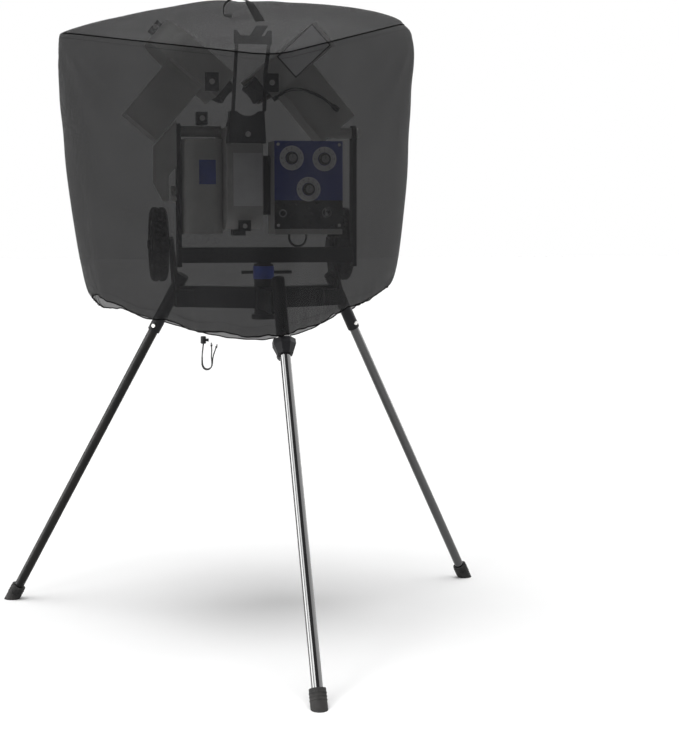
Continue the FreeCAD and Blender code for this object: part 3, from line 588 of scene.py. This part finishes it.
def cloth_relief(point, place, down, length):
    """Puckers under the seam, gathers over the hem, and soft folds between them."""
    from_seam, from_hem = down * length, (1 - down) * length
    phase = 1.5 * noise.noise(Vector((place * 7, 3.1, 0)))
    puckers = 0.0009 * math.sin(place * 118 + 4 * phase) * math.exp(-from_seam / 0.035)
    strength = 0.6 + 0.6 * noise.noise(Vector((place * 11, 0, 5.2)))
    gathers = 0.003 * math.sin(place * 71 + 5 * phase) * math.exp(-from_hem / 0.06) * strength
    soft = 0.006 * noise.noise(Vector((point.x * 4.2, point.y * 4.2, point.z * 2.3)))
    fine = 0.0018 * noise.noise(Vector((point.x * 15, point.y * 15, point.z * 6 + 7)))
    inner = smooth_step(0, 0.1, down) * smooth_step(0, 0.12, 1 - down)
    pulls = 0
    for corner, pull in zip(SEAM, CORNER_PULLS):
        offset = point - corner
        reach = offset.length / PULL_REACH
        angle = math.atan2(offset.z, math.hypot(offset.x, offset.y))
        pulls += pull * math.sin(angle * 19 + 2) * reach * math.exp(1 - reach)
    return puckers + gathers + (soft + fine + pulls) * inner


def cover_points():
    """The cover's grid of points: rows from the crown to the seam and on to the hem."""
    places = stations()
    middle = Vector((CROWN.x, CROWN.y, 0))
    rows = [[] for _ in range(TOP_ROWS + SIDE_ROWS)]
    for place in places:
        seam = ring_point(SEAM, ROUNDING, place)
        hem = ring_point(HEM, HEM_ROUNDING, place) - UP * hem_drop(place)
        ahead = ring_point(SEAM, ROUNDING, (place + 0.01) % len(SEAM))
        tangent = (ahead - seam).normalized()
        outward = tangent.cross(UP).normalized()
        if outward.dot(seam - middle) < 0:
            outward = -outward
        side = smooth_step(-0.2, 0.35, seam.x - CROWN.x)
        for row in range(TOP_ROWS):
            share = (row + 1) / TOP_ROWS
            point = CROWN.lerp(seam, share)
            fullness = 0.15 + 0.85 * smooth_step(-0.16, 0.0, point.y - CROWN.y)
            swell = fullness * dome(share, side)
            rough = 0.004 * noise.noise(Vector((point.x * 6, point.y * 6, 1.7)))
            rough += 0.0016 * noise.noise(Vector((point.x * 17, point.y * 17, 8.8)))
            rough = (rough + 0.002) * smooth_step(0, 0.2, 1 - share) * smooth_step(0, 0.25, share)
            rows[row].append(point + UP * (swell + rough))
        length = (hem - seam).length
        for row in range(SIDE_ROWS):
            down = (row + 1) / SIDE_ROWS
            point = seam.lerp(hem, down)
            tuck = -HEM_TUCK * math.exp(-(1 - down) * length / HEM_TUCK_REACH)
            relief = cloth_relief(point, place, down, length)
            rows[TOP_ROWS + row].append(point + outward * (belly(place, down) + tuck + relief))
    return rows


def cover():
    """One sheet of see-through fabric with piping in its seam and a cased hem."""
    rows = cover_points()
    mesh = bmesh.new()
    peak = sum(rows[0], Vector()) / COLUMNS
    tip = mesh.verts.new(peak + UP * 0.0005)
    made = [[mesh.verts.new(point) for point in row] for row in rows]
    for i in range(COLUMNS):
        j = (i + 1) % COLUMNS
        mesh.faces.new((tip, made[0][i], made[0][j]))
        for upper, lower in zip(made, made[1:]):
            mesh.faces.new((upper[i], lower[i], lower[j], upper[j]))
    data = bpy.data.meshes.new("cover_fabric_sheet")
    mesh.to_mesh(data)
    mesh.free()
    data.materials.append(LOOKS["cover_fabric"])
    data.shade_smooth()
    sheet = bpy.data.objects.new("cover_fabric_sheet", data)
    bpy.context.scene.collection.objects.link(sheet)
    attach(sheet, "cover")
    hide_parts("cover_top", "cover_front_left", "cover_front_right", "cover_rear")

    seam, hem = rows[TOP_ROWS - 1], rows[-1]
    front_seam = [p + UP * 0.0004 for p, place in zip(seam, stations()) if place < 2.0]
    top_piping = Shape().tube(front_seam, SEAM_PIPING, 8)
    top_piping = top_piping.piece("cover_seam_piping", "cover", "cover_fabric", "piping")
    low_piping = Shape().tube(hem, HEM_PIPING, 8, closed=True)
    low_piping = low_piping.piece("cover_hem_piping", "cover", "cover_fabric", "piping")
    stitches = Shape()
    for row in STITCHED_ROWS:
        line = rows[row]
        for i in range(COLUMNS):
            stitch_between(stitches, line[i], line[(i + 1) % COLUMNS])
    stitches = stitches.piece("cover_stitches", "cover", "cover_fabric", "piping")


def stitch_between(shape, start, end):
    """One lock stitch on the outside of the fabric."""
    out = Vector((start.x - CROWN.x, start.y - CROWN.y, 0)).normalized()
    a, b = start.lerp(end, 0.18) + out * 0.0003, start.lerp(end, 0.82) + out * 0.0003
    shape.tube([a, a.lerp(b, 0.5) + out * 0.0002, b], 0.00028, 4)


# Middle line of the strap from its left end over to its right end, and the way its
# width lies at each point.
STRAP_LINE = [
    (at(-101, -153, 1582), (0, 1, 0.4)), (at(-112, -152, 1583), (0, 1, 0.35)),
    (at(-119.5, -150, 1586), (0.05, 1, 0.2)), (at(-121, -148, 1601), (0.15, 1, 0)),
    (at(-114.5, -145, 1614), (0.15, 1, 0)), (at(-103.5, -142, 1624.5), (0.15, 1, -0.1)),
    (at(-84.5, -140, 1631), (0.2, 0.95, -0.25)), (at(-67, -142, 1626.5), (0.45, 0.8, -0.3)),
    (at(-55, -148, 1615), (0.85, 0.45, -0.1)), (at(-45, -158, 1595), (0.95, 0.3, 0)),
    (at(-36, -171, 1576), (0.97, 0.2, 0)), (at(-33, -178, 1567), (0.97, 0.2, 0)),
]
STRAP_WIDTH, STRAP_THICK, STRAP_STEPS = 0.025, 0.0017, 48


def strap():
    """The webbing handle on the crown, its ends running down onto the top."""
    points, ups = [], []
    for i in range(STRAP_STEPS + 1):
        share = i / STRAP_STEPS * (len(STRAP_LINE) - 1)
        k = min(int(share), len(STRAP_LINE) - 2)
        t = share - k
        (p1, w1), (p2, w2) = STRAP_LINE[k], STRAP_LINE[k + 1]
        p0 = STRAP_LINE[max(k - 1, 0)][0]
        p3 = STRAP_LINE[min(k + 2, len(STRAP_LINE) - 1)][0]
        point = 0.5 * ((2 * p1) + (p2 - p0) * t + (2 * p0 - 5 * p1 + 4 * p2 - p3) * t * t
                       + (3 * p1 - p0 - 3 * p2 + p3) * t ** 3)
        points.append(point)
        ups.append(Vector(w1).lerp(Vector(w2), t).normalized())
    half, thick = STRAP_WIDTH / 2, STRAP_THICK / 2
    section = [(-thick, -half), (thick, -half), (thick * 1.25, -half / 2), (thick * 1.25, half / 2),
               (thick, half), (-thick, half), (-thick * 1.25, half / 2), (-thick * 1.25, -half / 2)]
    shape = Shape().sweep(points, section, ups=ups)
    webbing = shape.piece("cover_strap_webbing", "cover", "webbing", "webbing")
    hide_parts("cover_strap")


# --------------------------------------------------------------- the machine

DIALS = {"left": (47, 1232), "right": (131, 1230), "lower": (90, 1154)}
# Ticks round a dial: how many, where they start and step in degrees, and the radii of the
# inner ends of the long and short ones and of the outer ends.
TICKS, TICK_START, TICK_STEP = 31, -60, 10
TICK_LONG, TICK_SHORT, TICK_END = 0.0182, 0.0196, 0.0212
DIGIT_REACH, PRINT_RISE, PRINT_THICK, PRINT_EDGE = 0.0255, 0.0008, 0.0003, 0.00005


def dials():
    """White scale rings with ticks, and fluted knobs with grey caps."""
    for name, (x, z) in DIALS.items():
        centre = at(x, PANEL_Y, z)
        ring = Shape().lathe([(0.0165, 0), (0.0165, 0.0007), (0.0305, 0.0007), (0.031, 0.0003),
                              (0.031, 0)], facing(centre, FRONT), 64)
        ring.piece("dial_scale_" + name, "head", "grey_housing", "label_white")
        ticks = Shape()
        for i in range(TICKS):
            angle = math.radians(TICK_START + i * TICK_STEP)
            long = i % 3 == 0
            inner = TICK_LONG if long else TICK_SHORT
            out = Vector((math.cos(angle), 0, math.sin(angle)))
            place = centre + out * (inner + TICK_END) / 2 + FRONT * PRINT_RISE
            turn = Matrix.Translation(place) @ Matrix.Rotation(-angle, 4, "Y")
            size = (TICK_END - inner, PRINT_THICK, 0.0008 if long else 0.0005)
            ticks.block(size, turn, PRINT_EDGE)
            if long:
                digit_mark(ticks, centre + out * DIGIT_REACH + FRONT * PRINT_RISE, i // 3)
        ticks.piece("dial_ticks_" + name, "head", "grey_housing", "ink")
        knob(name, centre)


SEGMENTS = {0: "abcdef", 1: "bc", 2: "abged", 3: "abgcd", 4: "fgbc", 5: "afgcd", 6: "afgedc",
            7: "abc", 8: "abcdefg", 9: "abcdfg", 10: "g"}


def digit_mark(shape, centre, number):
    """A small plain digit made of bars; a dash stands for 10."""
    w, h, bar = 0.0011, 0.0018, 0.0005
    bars = {"a": (0, h, 1), "g": (0, 0, 1), "d": (0, -h, 1), "f": (-w, h / 2, 0),
            "b": (w, h / 2, 0), "e": (-w, -h / 2, 0), "c": (w, -h / 2, 0)}
    for letter in SEGMENTS[number]:
        x, z, flat = bars[letter]
        size = (2 * w, PRINT_THICK, bar) if flat else (bar, PRINT_THICK, h)
        shape.block(size, Matrix.Translation(centre + Vector((x, 0, z))), PRINT_EDGE)


def knob(name, centre):
    """A black fluted knob with a grey cap and a pointer line."""
    skirt = Shape()
    skirt.lathe([(0, 0.001), (0.0145, 0.001), (0.0152, 0.002), (0.0152, 0.0034), (0.0138, 0.0042),
                 (0.0134, 0.0150), (0.0126, 0.0160), (0.0100, 0.0160)], facing(centre, FRONT), 96,
                lambda angle, r: r * (1 + 0.035 * math.cos(16 * angle)) if r < 0.014 else r)
    made = skirt.piece("knob_skirt_" + name, "knob_" + name, "black_plastic", "black_plastic")
    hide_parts("dial_knob_" + name)
    cap = Shape().lathe([(0.0101, 0.0150), (0.0101, 0.0162), (0.0094, 0.0168), (0, 0.0170)],
                        facing(centre, FRONT), 48)
    cap.piece("knob_cap_" + name, "knob_" + name, "grey_housing", "grey_cap")
    line = Shape().block((0.0011, 0.0006, 0.0085),
                         Matrix.Translation(centre + FRONT * 0.0171 + UP * 0.0045), 0.0001)
    line.piece("knob_pointer_" + name, "knob_" + name, "black_plastic", "ink")


def labels():
    """Blank plates where the real machine has its labels."""
    slant = Matrix.Translation(at(87, -122.6, 1504)) @ Matrix.Rotation(math.radians(-43), 4, "Y")
    wide, high = 0.121, 0.069
    plates = {
        "lower": ((0.074, 0.0012, 0.1345), Matrix.Translation(at(-58, -122.6, 1178.7)),
                  "grey_housing", "label_white"),
        "upper": ((wide, 0.0012, high), slant, "grey_housing", "label_white"),
        "motor": ((0.043, 0.0012, 0.0625), Matrix.Translation(at(-154.5, -68, 1198.8)),
                  "blue_panel", "blue_sleeve"),
    }
    for name, (size, place, slot, look) in plates.items():
        plate = Shape().block(size, place, 0.0004)
        plate.piece("label_plate_" + name, "head", slot, look)
    border, bar = Shape(), 0.003
    for side in (-1, 1):
        long_side = slant @ Matrix.Translation((0, 0, side * high / 2))
        short_side = slant @ Matrix.Translation((side * wide / 2, 0, 0))
        border.block((wide + bar, 0.0018, bar), long_side, 0.0003)
        border.block((bar, 0.0018, high + bar), short_side, 0.0003)
    border.piece("label_border_upper", "head", "black_bracket", "ink")


# Bezels on the panel: where, in millimetres, and a (radius, height) profile in metres.
BEZELS = {
    "breaker": ((24, PANEL_Y, 1093), "grey_housing", "grey_cap",
                [(0.0067, 0), (0.0067, 0.0022), (0.0096, 0.0022), (0.0102, 0.0016), (0.0102, 0),
                 (0.0067, 0)]),
    "switch": ((137, PANEL_Y, 1095), "steel_switch", "steel_switch",
               [(0.0098, 0), (0.0098, 0.0008), (0.0122, 0.0008), (0.0126, 0.0004), (0.0126, 0),
                (0.0098, 0)]),
}


def bezels():
    """Rings round the breaker's button and the switch."""
    for name, (place, slot, look, profile) in BEZELS.items():
        ring = Shape().lathe(profile, facing(at(*place), FRONT), 48)
        ring.piece(name + "_bezel", "head", slot, look)


# Legs by their bearing about the swivel's axis, and where they start and end, in millimetres.
LEG_BEARINGS = {"front": 270, "left": 150, "right": 30}
SOCKET_REACH, SOCKET_TOP, FOOT_REACH = 235, 925, 775
# Places up a leg from its foot's tip, in metres, and (radius, height) profiles there.
RIB_RISES, COLLAR_RISE = (0.020, 0.028, 0.036), 0.908
RIB = [(0.0190, -0.0022), (0.0201, -0.0014), (0.0204, 0), (0.0201, 0.0014), (0.0190, 0.0022),
       (0.0190, -0.0022)]
# The pale zinc ring over the front leg's collar is a painted highlight on the collar's top.
COLLAR_HIGHLIGHT_RING = [(0.0168, -0.003), (0.0215, -0.003), (0.0225, -0.002), (0.0225, 0.002),
               (0.0215, 0.003), (0.0168, 0.003), (0.0168, -0.003)]


def leg_trim():
    """Ribs round the feet, and a pale zinc ring over the front leg's collar that is a painted
    highlight.
    """
    for name, bearing in LEG_BEARINGS.items():
        turn = math.radians(bearing)
        out = Vector((math.cos(turn), math.sin(turn), 0))
        foot = at(*(out * FOOT_REACH))
        top = at(*(out * SOCKET_REACH + UP * SOCKET_TOP))
        along = (top - foot).normalized()
        ribs = Shape()
        for rise in RIB_RISES:
            ribs.lathe(RIB, facing(foot + along * rise, along), 48)
        ribs.piece("foot_ribs_" + name, "leg_" + name, "rubber", "rubber")
        if name == "front":
            # A pale zinc ring: a painted highlight where the collar's top shines.
            ring = Shape().lathe(COLLAR_HIGHLIGHT_RING, facing(foot + along * COLLAR_RISE, along), 48)
            ring.piece("collar_highlight_ring", "tripod_base", "zinc_fastener", "zinc_fastener")


TYRE = [(0.0642, -0.017), (0.070, -0.0205), (0.080, -0.0218), (0.092, -0.0212),
        (0.0975, -0.0188), (0.1012, -0.0145), (0.1018, -0.0045), (0.0985, -0.0035),
        (0.0985, 0.0035), (0.1018, 0.0045), (0.1012, 0.0145), (0.0975, 0.0188), (0.092, 0.0212),
        (0.080, 0.0218), (0.070, 0.0205), (0.0642, 0.017), (0.0642, -0.017)]
LUGS, LUG_DEPTH, TREAD_RADIUS = 36, 0.0022, 0.098


def lugs(angle, radius):
    """The tread is lower between its lugs."""
    between = radius > TREAD_RADIUS and math.sin(LUGS * angle) > 0.2
    return radius - LUG_DEPTH if between else radius


def tyres():
    """Transport tyres with a groove round the middle and lugs across the tread."""
    for name in ("left", "right"):
        low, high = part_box("tyre_" + name)
        tyre = Shape().lathe(TYRE, facing((low + high) / 2, (1, 0, 0)), 216, lugs)
        tyre = tyre.piece("tyre_lugged_" + name, "transport_wheel_" + name, "tyre", "tyre")
        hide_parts("tyre_" + name)


# -------------------------------------------------------- floor and studio

def floor():
    """A pale floor that runs out of sight."""
    mesh = bmesh.new()
    bmesh.ops.create_grid(mesh, x_segments=8, y_segments=8, size=40)
    data = bpy.data.meshes.new("floor")
    mesh.to_mesh(data)
    mesh.free()
    look = Look("floor_paint", (0.88, 0.88, 0.88), 0.9, Specular_IOR_Level=0.0)
    look.tint(look.noise(3, 2), (0.875, 0.875, 0.875), (0.885, 0.885, 0.885))
    data.materials.append(look.material)
    made = bpy.data.objects.new("floor", data)
    bpy.context.scene.collection.objects.link(made)


def area_light(name, place, target, size, power):
    """A soft box aimed at a point."""
    data = bpy.data.lights.new(name, "AREA")
    data.shape = "RECTANGLE"
    data.size, data.size_y = size
    data.energy = power
    made = bpy.data.objects.new(name, data)
    made.location = place
    made.rotation_mode = "QUATERNION"
    made.rotation_quaternion = (Vector(target) - Vector(place)).to_track_quat("-Z", "Y")
    bpy.context.scene.collection.objects.link(made)


# The walls' brightness as they light the scene, and as gloss mirrors them.
WALL_LIGHT, WALL_GLOSS = 0.48, 0.22
# Each soft box: bearing in degrees from straight in front, round to the left, half its
# width, and how bright it is in a mirror. Its edges blur by that much of a cosine.
SOFT_BOXES, BOX_BLUR = [(58, 15, 8.0), (100, 14, 12.0), (-108, 60, 2.2)], 0.02


def surround():
    """The pale studio round the machine. Gloss mirrors tall soft boxes and dim walls."""
    world = bpy.data.worlds.new("surround")
    world.use_nodes = True
    tree = world.node_tree
    background = tree.nodes["Background"]
    background.inputs["Color"].default_value = (1, 1, 1, 1)

    def add(kind, inputs, **settings):
        node = tree.nodes.new(kind)
        for key, value in settings.items():
            setattr(node, key, value)
        for key, value in inputs.items():
            if isinstance(value, bpy.types.NodeSocket):
                tree.links.new(value, node.inputs[key])
            else:
                node.inputs[key].default_value = value
        return node.outputs

    def mix(share, low, high):
        return add("ShaderNodeMix", {0: share, 2: low, 3: high})[0]

    place = add("ShaderNodeTexCoord", {})["Generated"]
    flat = add("ShaderNodeVectorMath", {0: place, 1: (1, 1, 0)}, operation="MULTIPLY")[0]
    flat = add("ShaderNodeVectorMath", {0: flat}, operation="NORMALIZE")[0]
    mirrored = WALL_GLOSS
    for bearing, half_width, strength in SOFT_BOXES:
        turn = math.radians(bearing)
        toward = (-math.sin(turn), -math.cos(turn), 0)
        near = add("ShaderNodeVectorMath", {0: flat, 1: toward}, operation="DOT_PRODUCT")["Value"]
        edge = math.cos(math.radians(half_width))
        limits = {"From Min": edge - BOX_BLUR, "From Max": edge + BOX_BLUR,
                  "To Min": 0.0, "To Max": strength}
        soft = add("ShaderNodeMapRange", {"Value": near, **limits})[0]
        mirrored = add("ShaderNodeMath", {0: mirrored, 1: soft}, operation="ADD")[0]
    seen = add("ShaderNodeLightPath", {})
    strength = mix(seen["Is Glossy Ray"], WALL_LIGHT, mirrored)
    strength = mix(seen["Is Camera Ray"], strength, 1.0)
    tree.links.new(strength, background.inputs["Strength"])
    bpy.context.scene.world = world


SUN_ENERGY, SUN_SPREAD, SUN_WAY = 2.35, 45, (0.12, 0.15, -1)
KEY_PLACE, KEY_TARGET, KEY_SIZE, KEY_POWER = (-2.6, -3.4, 2.4), (0, 0, 1.0), (1.0, 1.6), 40


def lights():
    """A wide soft light from above, a weak key light from the front left, and the studio."""
    data = bpy.data.lights.new("overhead", "SUN")
    data.energy = SUN_ENERGY
    data.angle = math.radians(SUN_SPREAD)
    overhead = bpy.data.objects.new("overhead", data)
    overhead.rotation_mode = "QUATERNION"
    overhead.rotation_quaternion = Vector(SUN_WAY).to_track_quat("-Z", "Y")
    bpy.context.scene.collection.objects.link(overhead)
    area_light("key", KEY_PLACE, KEY_TARGET, KEY_SIZE, KEY_POWER)
    surround()
    bpy.context.scene.view_settings.view_transform = "Standard"


camera()
drawcords()
cover()
strap()
dials()
labels()
bezels()
leg_trim()
tyres()
floor()
lights()
